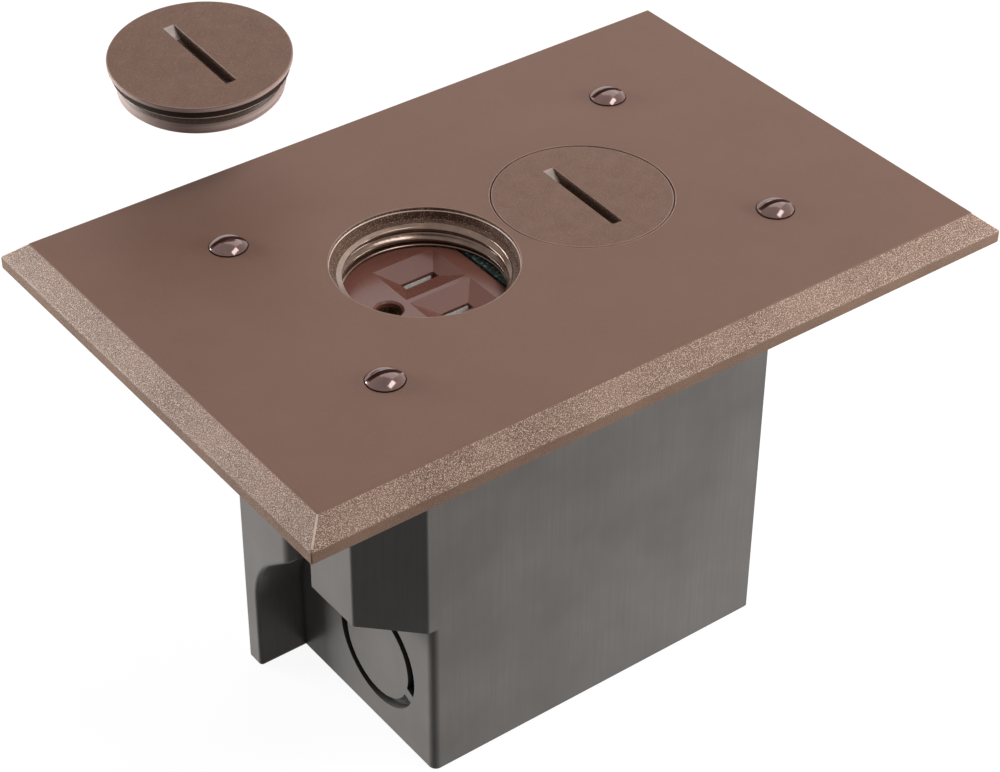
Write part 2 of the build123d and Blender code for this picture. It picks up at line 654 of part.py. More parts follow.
def ground_contact():
    """Two sleeves for the round pins on one bar, with a riser that meets the strap."""
    bottom = CONTACT_BOTTOM - GROUND_BAR_THICKNESS
    grounds = [x + SLOT_OFFSET - GROUND_OFFSET for x in OUTLETS]
    half = GROUND_BAR_WIDTH / 2
    contact = block(grounds[0], grounds[1], -half, half, bottom, CONTACT_BOTTOM)
    top = GROUND_POCKET_ROOF - CONTACT_CLEARANCE
    for x in grounds:
        contact += rod(SLEEVE_RADIUS, x, 0, bottom, top)
    for x in grounds:
        contact -= rod(GROUND_HOLE_RADIUS - SLEEVE_GRIP, x, 0, CONTACT_BOTTOM, top)
    thick = GROUND_BAR_THICKNESS
    return contact + block(-thick / 2, thick / 2, -half, half, bottom, LEDGE)


def receptacle_body():
    body = rounded_block(BODY_LENGTH, BODY_WIDTH, BODY_ROUNDING, BODY_BOTTOM, STRAP_TOP)
    spare = CONTACT_CLEARANCE
    body -= block(
        -BODY_LENGTH, BODY_LENGTH, -STRAP_WIDTH / 2, STRAP_WIDTH / 2, LEDGE, STRAP_TOP
    )
    bar_bottom = CONTACT_BOTTOM - GROUND_BAR_THICKNESS
    grounds = [x + SLOT_OFFSET - GROUND_OFFSET for x in OUTLETS]
    for side in (-1, 1):
        body -= contact_strip(side, spare)
        for x in OUTLETS:
            sx = x + SLOT_OFFSET
            body -= block(
                sx - LEAF_WIDTH / 2 - spare, sx + LEAF_WIDTH / 2 + spare,
                side * (SLOT_PITCH / 2 - LEAF_GAP - LEAF_THICKNESS - spare),
                side * (SLOT_PITCH / 2 + LEAF_GAP + LEAF_THICKNESS + spare),
                CONTACT_BOTTOM, LEDGE,
            )
        for x in (-TERMINAL_X, TERMINAL_X):
            body -= Pos(x, side * BODY_WIDTH / 2, terminal_height()) * (
                Rot(90, 0, 0) * Cylinder(TERMINAL_HEAD_RADIUS + TERMINAL_ROOM, 2 * STRIP_INSET)
            )
            depth = TERMINAL_LENGTH + STRIP_INSET + spare
            body -= Pos(x, side * BODY_WIDTH / 2, terminal_height()) * (
                Rot(90, 0, 0) * Cylinder(TERMINAL_RADIUS + spare, 2 * depth)
            )
    for x in grounds:
        body -= rod(SLEEVE_RADIUS + spare, x, 0, bar_bottom, LEDGE)
    half = GROUND_BAR_WIDTH / 2 + spare
    body -= block(grounds[0], grounds[1], -half, half, bar_bottom, CONTACT_BOTTOM + spare)
    thick = GROUND_BAR_THICKNESS / 2 + spare
    body -= block(-thick, thick, -half, half, bar_bottom, LEDGE)
    for side in (-1, 1):
        y = side * BODY_SCREW_Y
        body -= rod(BODY_SCREW_RADIUS + spare, 0, y, BODY_BOTTOM, LEDGE)
        body -= rod(
            BODY_SCREW_HEAD + spare, 0, y, BODY_BOTTOM, BODY_BOTTOM + BODY_SCREW_HEAD_HEIGHT
        )
    return body


def mounting_strap():
    half_x, half_y = STRAP_LENGTH / 2, STRAP_WIDTH / 2
    strap = extrude(
        Pos(0, 0, LEDGE) * RectangleRounded(STRAP_LENGTH, STRAP_WIDTH, STRAP_CORNER), STRAP_THICKNESS
    )
    strap = strap - [
        block(
            -half_x - CUT, -BODY_LENGTH / 2 - TAB_GAP, side * STRAP_NECK_WIDTH / 2,
            side * (half_y + CUT), LEDGE, STRAP_TOP,
        )
        for side in (-1, 1)
    ]
    tab_x, tab_y = ground_tab()
    strap += block(
        tab_x - TAB_LENGTH / 2, tab_x + TAB_LENGTH / 2, -half_y + CUT, tab_y - TAB_WIDTH / 2,
        LEDGE, STRAP_TOP,
    )
    window = STRAP_WINDOW_WIDTH / 2
    for x in OUTLETS:
        start = x + SLOT_OFFSET - GROUND_OFFSET - SLEEVE_RADIUS - STRAP_WINDOW_MARGIN
        stop = x + SLOT_OFFSET + NEUTRAL_SLOT_LENGTH / 2 + STRAP_WINDOW_MARGIN
        strap -= block(start, stop, -window, window, LEDGE, STRAP_TOP)
    for x in (-DEVICE_SCREW_X, DEVICE_SCREW_X):
        strap -= rod(DEVICE_SCREW_RADIUS + SCREW_HOLE_GAP, x, 0, LEDGE, STRAP_TOP)
    for side in (-1, 1):
        strap -= rod(BODY_SCREW_RADIUS + SCREW_HOLE_GAP, 0, side * BODY_SCREW_Y, LEDGE, STRAP_TOP)
    return strap - rod(GROUND_SCREW_RADIUS + RUNNING_GAP, tab_x, tab_y, LEDGE, STRAP_TOP)


def ground_tab():
    """Plan position of the green screw, on a tab at the strap's right end."""
    x = BODY_LENGTH / 2 + TAB_GAP + TAB_LENGTH / 2
    return x, -STRAP_WIDTH / 2 - TAB_WIDTH / 2


def pan_screw(x, y, shank, length, head, head_height):
    """A slotted screw whose head sits on the strap."""
    screw = rod(shank, x, y, STRAP_TOP - length, STRAP_TOP)
    crown = rod(head, x, y, STRAP_TOP, STRAP_TOP + head_height)
    screw += fillet(crown.edges().group_by(Axis.Z)[-1], head_height / 3)
    return screw - slotted_head(x, y, head, STRAP_TOP + head_height)


def terminal_screw(x, side):
    """A wire-binding screw, head outward on the strip."""
    seat = BODY_WIDTH / 2 - STRIP_INSET
    shank = Pos(0, 0, -TERMINAL_LENGTH / 2) * Cylinder(TERMINAL_RADIUS - RUNNING_GAP, TERMINAL_LENGTH)
    head = Pos(0, 0, TERMINAL_HEAD_HEIGHT / 2) * Cylinder(TERMINAL_HEAD_RADIUS, TERMINAL_HEAD_HEIGHT)
    head -= Pos(0, 0, TERMINAL_HEAD_HEIGHT) * Box(
        3 * TERMINAL_HEAD_RADIUS, SCREW_SLOT_WIDTH, 2 * SCREW_SLOT_DEPTH
    )
    place = Pos(x, side * seat, terminal_height()) * Rot(-90 * side, 0, 0)
    return place * (shank + head)


def body_screw(side):
    y = side * BODY_SCREW_Y
    tip = FACE_SHOULDER - BODY_SCREW_TOP_DROP
    screw = rod(BODY_SCREW_RADIUS - RUNNING_GAP, 0, y, BODY_BOTTOM, tip)
    return screw + rod(BODY_SCREW_HEAD, 0, y, BODY_BOTTOM, BODY_BOTTOM + BODY_SCREW_HEAD_HEIGHT)


def group(pieces):
    """Alike pieces kept as separate solids under one name."""
    return Compound(children=[piece.solid() for piece in pieces])


ENDS = ("left", "right")
tab = ground_tab()
nodes = {
    "cover_plate": cover_plate(),
    "cover_gasket": cover_gasket(),
    "cover_screws": group(cover_screw(x, y) for x, y in CORNERS),
    "cover_screw_inserts": group(screw_insert(x, y) for x, y in CORNERS),
    "right_plug": seated(plug_cap()),
    "right_plug_seal": seated(plug_seal()),
    "left_plug": lifted_off(plug_cap()),
    "left_plug_seal": lifted_off(plug_seal()),
    "box_body": box_body(),
    "outlet_face": outlet_face(),
    "device_gasket": device_gasket(),
    "receptacle_body": receptacle_body(),
    "mounting_strap": mounting_strap(),
    "neutral_contacts": contact_strip(1),
    "live_contacts": contact_strip(-1),
    "ground_contact": ground_contact(),
    "neutral_terminal_screws": group(terminal_screw(x, 1) for x in (-TERMINAL_X, TERMINAL_X)),
    "live_terminal_screws": group(terminal_screw(x, -1) for x in (-TERMINAL_X, TERMINAL_X)),
    "ground_screw": pan_screw(
        *tab, GROUND_SCREW_RADIUS, GROUND_SCREW_LENGTH, DEVICE_HEAD_RADIUS, DEVICE_HEAD_HEIGHT
    ),
    "device_screws": group(
        pan_screw(
            x, 0, DEVICE_SCREW_RADIUS, DEVICE_SCREW_LENGTH, DEVICE_HEAD_RADIUS, DEVICE_HEAD_HEIGHT
        )
        for x in (-DEVICE_SCREW_X, DEVICE_SCREW_X)
    ),
    "receptacle_screws": group(body_screw(side) for side in (-1, 1)),
}
for end, screw, nut, wing in zip(
    ENDS, both_ends(clamp_screw()), both_ends(clamp_nut()), both_ends(clamp_wing())
):
    nodes[end + "_clamp_screw"] = screw
    nodes[end + "_clamp_nut"] = nut
    nodes[end + "_clamp_wing"] = wing

for name, shape in nodes.items():
    export_step(shape, "parts/" + name + ".step")
    print(name, "%.0f mm3" % shape.volume)
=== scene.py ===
import math

import bmesh
import bpy
from mathutils import Matrix, Vector
from mathutils.geometry import delaunay_2d_cdt

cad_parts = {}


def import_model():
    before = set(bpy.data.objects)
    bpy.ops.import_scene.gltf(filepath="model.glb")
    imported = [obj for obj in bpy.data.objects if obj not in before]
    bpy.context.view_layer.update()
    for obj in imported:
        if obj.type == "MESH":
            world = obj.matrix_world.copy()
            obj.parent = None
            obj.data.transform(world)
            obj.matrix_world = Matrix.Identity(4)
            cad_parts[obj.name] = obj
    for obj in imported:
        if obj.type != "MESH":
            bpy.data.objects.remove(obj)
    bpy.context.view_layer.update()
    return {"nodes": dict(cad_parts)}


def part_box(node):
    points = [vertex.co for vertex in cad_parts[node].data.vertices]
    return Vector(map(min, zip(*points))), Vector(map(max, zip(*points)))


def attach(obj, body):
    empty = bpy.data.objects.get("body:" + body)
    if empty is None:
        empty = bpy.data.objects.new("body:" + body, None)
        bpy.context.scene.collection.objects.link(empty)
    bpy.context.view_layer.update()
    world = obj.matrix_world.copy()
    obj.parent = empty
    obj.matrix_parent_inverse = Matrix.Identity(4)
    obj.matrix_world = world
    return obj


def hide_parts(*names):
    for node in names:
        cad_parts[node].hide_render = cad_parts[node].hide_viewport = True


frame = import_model()

# Lengths are in millimetres in the part's own frame, where z = 0 is the box's underside, and MM turns
# them into metres. Only the floor and the lamps are placed in metres.
MM = 0.001


def corners(node):
    """A solid's lowest and highest corners at rest."""
    return [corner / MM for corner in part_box(node)]


# Cover plate
PLATE_X, PLATE_Y, PLATE_TOP = [round(v, 3) for v in corners("cover_plate")[1]]
PLATE_UNDERSIDE = round(corners("cover_gasket")[1].z, 3)
COLLAR_BOTTOM = round(corners("cover_plate")[0].z, 3)
COLLAR_RADIUS = 19.4
BEVEL_WIDTH = 4.4
BEVEL_DROP = 3.8
EDGE_TOP = PLATE_TOP - BEVEL_DROP
EDGE_HEIGHT = 2.8
EDGE_BOTTOM = EDGE_TOP - EDGE_HEIGHT
EDGE_SOFTNESS = 0.45
PLATE_CORNER = 0.25
CORNER_STEPS = 4
SKIRT_WIDTH = 5.5

# Openings: a seat for the plug's disc over a thread, with a plain lip below it
OPENING_X = 19.45
OPENING_FACETS = 160
SEAT_RADIUS = 18.55
SEAT_LEVEL = PLATE_TOP - 2.6
SEAT_MOUTH = SEAT_RADIUS + 0.1
THREAD_PITCH = 2.5
THREAD_ROOT = 17.2
THREAD_CREST = 16.15
THREAD_ROOT_LEVEL = PLATE_TOP - 0.27
LIP_RADIUS = 16.3
LIP_TOP = COLLAR_BOTTOM + 0.6

# Plugs, with depths counted down from the top of the disc
PLUG_FACETS = 144
PLUG_HEIGHT = 7.5
DISC_RADIUS = 18.45
DISC_THICKNESS = 1.1
NECK_RADIUS = 15.95
BEAD_RADIUS = 17.35
FOOT_RADIUS = 16.6
FOOT_RIDGE = 0.35
FOOT_ROOT_DEPTH = 6.52
HOLLOW_RADIUS = 14.3
HOLLOW_ROOF = 5.2
COIN_SLOT_HALF_LENGTH = 11.7
COIN_SLOT_HALF_WIDTH = 1.2
COIN_SLOT_DEPTH = 2.8
COIN_SLOT_SWEEP = 7.2
COIN_SLOT_STEPS = 12
COIN_SLOT_RUN_OUT_STEPS = 6
COIN_SLOT_SOFTNESS = 0.1

# The set plug's turn from square to the plate, and where the loose plug is shown, in degrees
SET_TURN = -1.8
LOOSE_PLACE = (-35.1, 54.2, PLATE_TOP + 26.0)
LOOSE_TILT = 4.9
LOOSE_TILT_HEADING = -37.2

# Cover screws
COVER_SCREWS = [(x, y) for y in (26.7, -26.7) for x in (47.4, -47.4)]
COVER_SCREW_RADIUS = 1.75
COVER_SCREW_LENGTH = 11.5
COVER_HEAD_RADIUS = 3.7
COVER_HEAD_CONE = 1.9
COVER_HEAD_TOP = PLATE_TOP + 1.9
COVER_HEAD_DOME = 1.6
COVER_DOME_STEPS = 8
COVER_SLOT_HALF_WIDTH = 0.55
COVER_SLOT_DEPTH = 1.5
COVER_SLOT_TURN = -15
COUNTERSINK_RADIUS = 3.95
COUNTERSINK_DEPTH = 1.9
COVER_HOLE_RADIUS = 2.1

# Clamp screws
CLAMP_FACETS = 32
CLAMP_PITCH = 0.79375
CLAMP_CREST = 1.75
CLAMP_ROOT = 1.38
CLAMP_TIP_RADIUS = 0.95
CLAMP_SHANK_RADIUS = 1.6
CLAMP_SHANK_LENGTH = 2.9
CLAMP_HEAD_RADIUS = 3.0
CLAMP_HEAD_HEIGHT = 1.6
CLAMP_SLOT_HALF_WIDTH = 0.45
CLAMP_SLOT_DEPTH = 1.2

# Materials: most of a noise lies between these two levels, and gloss swings this far about its middle
NOISE_LOW = 0.3
NOISE_HIGH = 0.7
GLOSS_SWING = 0.06
COAT_ROUGHNESS = 0.12
# How far the painted shade in narrow gaps looks for open sky, in millimetres.
CREVICE_SHADE_REACH = 3.0


def linear(r, g, b):
    """A colour picked as 0 to 255 on screen, as the shader takes it."""
    def one(v):
        v /= 255.0
        return v / 12.92 if v <= 0.04045 else ((v + 0.055) / 1.055) ** 2.4
    return (one(r), one(g), one(b), 1.0)


def node(tree, kind, **values):
    """A new node; each value goes to the input of that name, or else to the property."""
    made = tree.nodes.new(kind)
    for key, value in values.items():
        if key in made.inputs:
            made.inputs[key].default_value = value
        else:
            setattr(made, key, value)
    return made


def noise(tree, scale, detail, roughness=0.5, stretch=(1, 1, 1)):
    """Noise in the part's own coordinates, with scale cells to a metre; a small stretch makes streaks."""
    place = node(tree, "ShaderNodeTexCoord")
    mapping = node(tree, "ShaderNodeMapping", Scale=stretch)
    tree.links.new(place.outputs["Object"], mapping.inputs["Vector"])
    made = node(tree, "ShaderNodeTexNoise", Scale=scale, Detail=detail, Roughness=roughness)
    tree.links.new(mapping.outputs["Vector"], made.inputs["Vector"])
    return made.outputs["Fac"]


def spread(tree, source, low, high, start=NOISE_LOW, stop=NOISE_HIGH):
    """Turns values from start to stop into values from low to high."""
    made = node(tree, "ShaderNodeMapRange")
    made.inputs["From Min"].default_value = start
    made.inputs["From Max"].default_value = stop
    made.inputs["To Min"].default_value = low
    made.inputs["To Max"].default_value = high
    tree.links.new(source, made.inputs["Value"])
    return made.outputs["Result"]


def mixed(tree, factor, first, second):
    """The first colour where the factor is 0, the second where it is 1; each is a colour or a socket."""
    made = node(tree, "ShaderNodeMix", data_type="RGBA")
    sockets = [s for s in made.inputs if s.type == "RGBA"]
    for socket, value in zip(sockets, (first, second)):
        if isinstance(value, tuple):
            socket.default_value = value
        else:
            tree.links.new(value, socket)
    tree.links.new(factor, made.inputs["Factor"])
    return [s for s in made.outputs if s.type == "RGBA"][0]


def bump(tree, height, depth, under=None):
    """Relief of that depth in millimetres, laid over the relief under it."""
    made = node(tree, "ShaderNodeBump", Strength=1.0, Distance=depth * MM)
    tree.links.new(height, made.inputs["Height"])
    if under:
        tree.links.new(under, made.inputs["Normal"])
    return made.outputs["Normal"]


def finish(
    name, dark, light, rough, metallic=0.0, specular=0.5, coat=0.0, patch=60.0, grain=2200.0,
    depth=0.02, grit=0.35, stretch=(1, 1, 1), speck=None, wave=None, crevice_shade=None,
):
    """A material with patches from dark to light, a fine grain and uneven gloss.

    Colours are 0 to 255 as on screen. patch and grain are noise cells to a metre. depth is the
    grain's relief in millimetres, grit is how far it darkens the colour, and stretch draws it out
    into streaks. speck is a colour, its cells to a metre and the noise levels where it starts and is
    full. wave is a slow unevenness: its relief and its cells to a metre. The last argument is painted
    shade: a colour laid into narrow gaps and inside corners, wherever ambient occlusion finds little
    open sky.
    """
    mat = bpy.data.materials.new(name)
    mat.use_nodes = True
    tree = mat.node_tree
    tree.nodes.clear()
    shader = node(tree, "ShaderNodeBsdfPrincipled", Metallic=metallic)
    shader.inputs["Specular IOR Level"].default_value = specular
    if coat:
        shader.inputs["Coat Weight"].default_value = coat
        shader.inputs["Coat Roughness"].default_value = COAT_ROUGHNESS
    out = node(tree, "ShaderNodeOutputMaterial")
    tree.links.new(shader.outputs["BSDF"], out.inputs["Surface"])
    dark = linear(*dark)
    broad = noise(tree, patch, 3.0, 0.6)
    fine = noise(tree, grain, 2.0, 0.6, stretch)
    colour = mixed(tree, spread(tree, broad, 0.0, 1.0), dark, linear(*light))
    colour = mixed(tree, spread(tree, fine, grit, 0.0), colour, dark)
    if speck:
        tone, cells, start, full = speck
        dots = spread(tree, noise(tree, cells, 0.0), 0.0, 1.0, start, full)
        colour = mixed(tree, dots, colour, linear(*tone))
    # Painted shade: where ambient occlusion finds little open sky, the colour turns to the given dark.
    if crevice_shade:
        open_sky = node(tree, "ShaderNodeAmbientOcclusion", Distance=CREVICE_SHADE_REACH * MM, samples=8)
        gap_shade = spread(tree, open_sky.outputs["AO"], 1.0, 0.0, 0.3, 0.75)
        colour = mixed(tree, gap_shade, colour, linear(*crevice_shade))
    tree.links.new(colour, shader.inputs["Base Color"])
    gloss = spread(tree, fine, rough - GLOSS_SWING, rough + GLOSS_SWING)
    tree.links.new(gloss, shader.inputs["Roughness"])
    normal = bump(tree, fine, depth)
    if wave:
        swell, cells = wave
        normal = bump(tree, noise(tree, cells, 1.0), swell, normal)
    tree.links.new(normal, shader.inputs["Normal"])
    return mat


# Brown paint of the plate and plugs, with lighter copies as painted highlights and painted light, and
# darker copies as painted shade
plate_mat = finish(
    "brown_plate", (117, 87, 74), (122, 92, 79), 0.55, specular=0.2, grain=5000, depth=0.006,
    speck=((130, 100, 87), 5200, 0.58, 0.85),
)
bevel_mat = finish(
    "brown_texture", (100, 73, 60), (152, 123, 106), 0.5, specular=0.2, grain=5600, depth=0.07,
    grit=1.0, speck=((200, 174, 157), 6200, 0.5, 0.7),
)
edge_mat = finish(
    "brown_edge", (102, 76, 60), (138, 110, 92), 0.5, specular=0.2, grain=5600, depth=0.06, grit=0.9,
    speck=((152, 126, 108), 6200, 0.54, 0.74),
)
# Painted highlight: a light copy of the brown, laid on the bevel's corners, a thin line round each seat
# and the plug's bead.
highlight_mat = finish("brown_painted_highlight", (196, 172, 156), (236, 220, 208), 0.35, grain=2600)
# Painted highlight: a lighter copy of the brown along the openings' raised rims, the plugs' disc rims and
# the coin slot's mouth.
rim_highlight_mat = finish("brown_rim_painted_highlight", (124, 95, 82), (152, 122, 108), 0.4, specular=0.3, grain=4600)
# Painted shade with a coarse grain: a darker copy of the brown for the seat's wall and ledge in each
# opening.
seat_shade_mat = finish(
    "brown_seat_painted_shade", (74, 52, 42), (116, 89, 73), 0.55, specular=0.3, grain=4200, depth=0.05, grit=0.9,
    speck=((176, 148, 128), 4600, 0.6, 0.74),
)
thread_mat = finish(
    "brown_thread", (96, 70, 54), (126, 99, 81), 0.2, metallic=0.45, specular=0.6, coat=0.5,
    patch=300, grain=1800, depth=0.012,
)
plug_mat = finish(
    "brown_plug", (110, 81, 68), (124, 95, 81), 0.5, specular=0.15, patch=260, grain=4200, grit=0.6,
    speck=((140, 112, 98), 4600, 0.52, 0.8),
)
# Painted shadow: a darker copy of the plug's brown for the neck under the disc.
neck_shadow_mat = finish(
    "brown_neck_painted_shadow", (58, 42, 32), (88, 68, 54), 0.45, specular=0.3, grain=4200, depth=0.03,
    speck=((120, 98, 82), 4600, 0.62, 0.78),
)
# Painted light: a lighter copy of the plug's brown for the disc's edge and the foot, as if those sides
# were lit from the front.
plug_lit_side_mat = finish("brown_plug_painted_light", (160, 138, 130), (186, 164, 157), 0.6, specular=0.2, grain=3600)
# Painted shade with a coarse grain: a darker copy of the plug's brown inside the coin slot.
slot_shade_mat = finish(
    "slot_brown_painted_shade", (74, 54, 43), (116, 91, 76), 0.5, grain=3800, depth=0.08, grit=0.9,
    speck=((160, 134, 116), 4200, 0.6, 0.74),
)
# Painted light: a pale copy of the brown on the coin slot's ramps at each end.
run_out_light_mat = finish("slot_run_out_painted_light", (146, 124, 113), (198, 180, 170), 0.35, grain=3000)
screw_mat = finish(
    "painted_screw", (90, 58, 51), (114, 79, 71), 0.12, metallic=0.3, coat=0.7, patch=400, grain=900,
    depth=0.01,
)
# Painted shade: a darker copy of the brown inside the countersinks.
recess_shade_mat = finish("screw_recess_painted_shade", (60, 38, 32), (84, 56, 48), 0.35, grain=1500)

# Moulded plastic, rubber and foam
# The box's grey turns near black in narrow gaps and inside corners: painted shade.
box_mat = finish(
    "grey_box", (104, 100, 97), (121, 117, 114), 0.34, specular=0.14, patch=40, grain=1300,
    depth=0.004, grit=0.5, stretch=(1, 1, 0.03), wave=(0.04, 60), crevice_shade=(22, 21, 20),
)
face_mat = finish(
    "brown_outlet", (117, 73, 63), (126, 82, 71), 0.24, specular=0.3, grain=6000, depth=0.001,
    grit=0.04,
)
device_mat = finish("black_device", (34, 33, 33), (44, 43, 43), 0.5, grain=1500, depth=0.03)
wing_mat = finish("black_wing", (32, 32, 33), (42, 42, 43), 0.42, patch=300, grain=1800, depth=0.04)
seal_mat = finish("black_rubber", (44, 33, 28), (56, 43, 37), 0.7, specular=0.15, grain=2000, depth=0.03)
foam_mat = finish(
    "black_foam", (16, 26, 26), (34, 48, 46), 0.6, grain=1600, depth=0.2,
    speck=((110, 140, 130), 1900, 0.58, 0.68),
)

# Bare metal
steel_mat = finish(
    "zinc_steel", (176, 178, 180), (200, 202, 204), 0.3, metallic=1.0, patch=200, grain=1200,
    depth=0.015, stretch=(0.08, 1, 1),
)
bolt_mat = finish(
    "zinc_bolt", (170, 172, 175), (196, 198, 200), 0.28, metallic=1.0, patch=500, grain=2500,
    depth=0.01,
)
brass_mat = finish(
    "brass_contact", (206, 186, 150), (226, 208, 176), 0.22, metallic=1.0, patch=250, grain=1400,
    depth=0.012,
)
contact_mat = finish(
    "tinned_contact", (238, 236, 232), (250, 249, 247), 0.25, metallic=0.2, patch=250, grain=1400,
    depth=0.012,
)
nickel_mat = finish(
    "nickel_screw", (196, 194, 188), (214, 212, 206), 0.22, metallic=1.0, patch=500, grain=2200,
    depth=0.01,
)
green_mat = finish(
    "green_screw", (28, 116, 62), (40, 140, 80), 0.3, metallic=0.6, patch=500, grain=2200, depth=0.015,
)

for mat, names in (
    (plate_mat, ("cover_plate",)),
    (plug_mat, ("right_plug", "left_plug")),
    (screw_mat, ("cover_screws",)),
    (box_mat, ("box_body",)),
    (face_mat, ("outlet_face",)),
    (device_mat, ("receptacle_body",)),
    (wing_mat, ("left_clamp_wing", "right_clamp_wing")),
    (seal_mat, ("right_plug_seal", "left_plug_seal")),
    (foam_mat, ("cover_gasket", "device_gasket")),
    (steel_mat, ("mounting_strap",)),
    (bolt_mat, ("device_screws", "receptacle_screws", "left_clamp_screw", "right_clamp_screw")),
    (brass_mat, (
        "ground_contact", "live_terminal_screws", "cover_screw_inserts", "left_clamp_nut",
        "right_clamp_nut",
    )),
    (contact_mat, ("live_contacts", "neutral_contacts")),
    (nickel_mat, ("neutral_terminal_screws",)),
    (green_mat, ("ground_screw",)),
):
    for name in names:
        cad = frame["nodes"][name]
        cad.data.materials.clear()
        cad.data.materials.append(mat)


class Shape:
    """A mesh made of closed rows of points, with a material for each face."""

    def __init__(self):
        self.points = []
        self.faces = []
        self.mats = []

    def row(self, points):
        """Adds a row of points and gives their numbers."""
        start = len(self.points)
        self.points.extend(points)
        return list(range(start, len(self.points)))

    def face(self, loop, mat):
        """Adds a face round those points; without a material it keeps the first one."""
        self.faces.append(tuple(loop))
        self.mats.append(mat)

    def band(self, first, second, mat, corner_mat=None):
        """Faces between two rows; corner_mat is for the narrow ones at a rectangle's corners."""
        count = len(first)
        for i in range(count):
            j = (i + 1) % count
            at_corner = i % (CORNER_STEPS + 1) < CORNER_STEPS
            self.face(
                (first[i], first[j], second[j], second[i]),
                corner_mat if corner_mat and at_corner else mat,
            )

    def extend(self, last, rows, mat, corner_mat=None):
        """Rows joined to the last one and to each other; gives the new last row."""
        for points in rows:
            new = self.row(points)
            self.band(last, new, mat, corner_mat)
            last = new
        return last

    def flat(self, outer, holes, mat):
        """A flat face between an outer row and the rows of its holes."""
        loops = [outer] + holes
        index = [i for loop in loops for i in loop]
        places = [Vector(self.points[i][:2]) for i in index]
        rings = []
        edges = []
        start = 0
        for loop in loops:
            stop = start + len(loop)
            rings.append(places[start:stop])
            edges.extend((i, i + 1) for i in range(start, stop - 1))
            edges.append((stop - 1, start))
            start = stop
        points, _, triangles, origins, _, _ = delaunay_2d_cdt(places, edges, [], 0, 1e-6)
        for triangle in triangles:
            middle = sum((points[i] for i in triangle), Vector((0, 0))) / len(triangle)
            if inside(middle, rings[0]) and not any(inside(middle, ring) for ring in rings[1:]):
                self.face([index[origins[i][0]] for i in triangle], mat)

    def as_object(self, name, place=None, smooth=38.0):
        """The mesh as an object, moved to its place, with edges over the smooth angle kept sharp."""
        mats = [mat for mat in dict.fromkeys(self.mats) if mat]
        mesh = bpy.data.meshes.new(name)
        mesh.from_pydata([Vector(point) * MM for point in self.points], [], self.faces)
        for mat in mats:
            mesh.materials.append(mat)
        for polygon, mat in zip(mesh.polygons, self.mats):
            if mat:
                polygon.material_index = mats.index(mat)
        work = bmesh.new()
        work.from_mesh(mesh)
        bmesh.ops.recalc_face_normals(work, faces=work.faces)
        work.to_mesh(mesh)
        work.free()
        shade(mesh, smooth)
        if place is not None:
            mesh.transform(place)
        return linked(name, mesh)


def inside(point, ring):
    """Whether a point lies within a closed ring."""
    hit = False
    for a, b in zip(ring, ring[1:] + ring[:1]):
        if (a.y > point.y) != (b.y > point.y):
            if point.x < (b.x - a.x) * (point.y - a.y) / (b.y - a.y) + a.x:
                hit = not hit
    return hit


def shade(mesh, smooth):
    """Smooth shading, with edges over that angle in degrees kept sharp."""
    mesh.shade_smooth()
    mesh.set_sharp_from_angle(angle=math.radians(smooth))


def linked(name, data):
    """A new object in the scene."""
    obj = bpy.data.objects.new(name, data)
    bpy.context.scene.collection.objects.link(obj)
    return obj


def bake(obj):
    """Works an object's modifiers into its mesh."""
    bpy.context.view_layer.update()
    graph = bpy.context.evaluated_depsgraph_get()
    mesh = bpy.data.meshes.new_from_object(obj.evaluated_get(graph), depsgraph=graph)
    obj.modifiers.clear()
    old = obj.data
    obj.data = mesh
    bpy.data.meshes.remove(old)
    mesh.name = obj.name


def settle(obj, body, replaced):
    """The piece gets even normals and rides on a body, and the solid it stands for is hidden."""
    weighted = obj.modifiers.new("normals", "WEIGHTED_NORMAL")
    weighted.keep_sharp = True
    weighted.weight = 100
    bake(obj)
    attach(obj, body)
    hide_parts(replaced)


def circle(radius, z, count, x=0.0, y=0.0):
    """A row of points round a level circle."""
    turns = [2 * math.pi * i / count for i in range(count)]
    return [(x + radius * math.cos(a), y + radius * math.sin(a), z) for a in turns]


def rectangle(half_x, half_y, corner, z):
    """A rectangle with rounded corners."""
    points = []
    for turn, (side_x, side_y) in enumerate(((1, 1), (-1, 1), (-1, -1), (1, -1))):
        for step in range(CORNER_STEPS + 1):
            a = math.pi / 2 * (turn + step / CORNER_STEPS)
            x = side_x * (half_x - corner) + corner * math.cos(a)
            y = side_y * (half_y - corner) + corner * math.sin(a)
            points.append((x, y, z))
    return points


def ridge(phase, crest, root):
    """Height from 0 to 1 of a rounded thread; crest and root are shares of half a pitch."""
    phase -= math.floor(phase)
    distance = abs(phase - 0.5) * 2
    t = min(1.0, max(0.0, (root - distance) / (root - crest)))
    return t * t * (3 - 2 * t)


def thread_rows(radii, levels, root_level, pitch, form, fade, step, count, x=0.0, y=0.0):
    """Rows of a right-hand thread from the low end up.

    radii are those of its root and crest, and root_level is a height at which a root crosses angle
    0. form is its ridge's crest and root, and it fades out over that length at each end.
    """
    root, crest = radii
    low, high = levels
    steps = round((high - low) / step)
    rows = []
    for k in range(steps + 1):
        z = low + (high - low) * k / steps
        height = (crest - root) * max(0.0, min(1.0, (z - low) / fade, (high - z) / fade))
        row = []
        for i in range(count):
            turn = i / count
            radius = root + height * ridge((z - root_level) / pitch - turn, *form)
            a = 2 * math.pi * turn
            row.append((x + radius * math.cos(a), y + radius * math.sin(a), z))
        rows.append(row)
    return rows


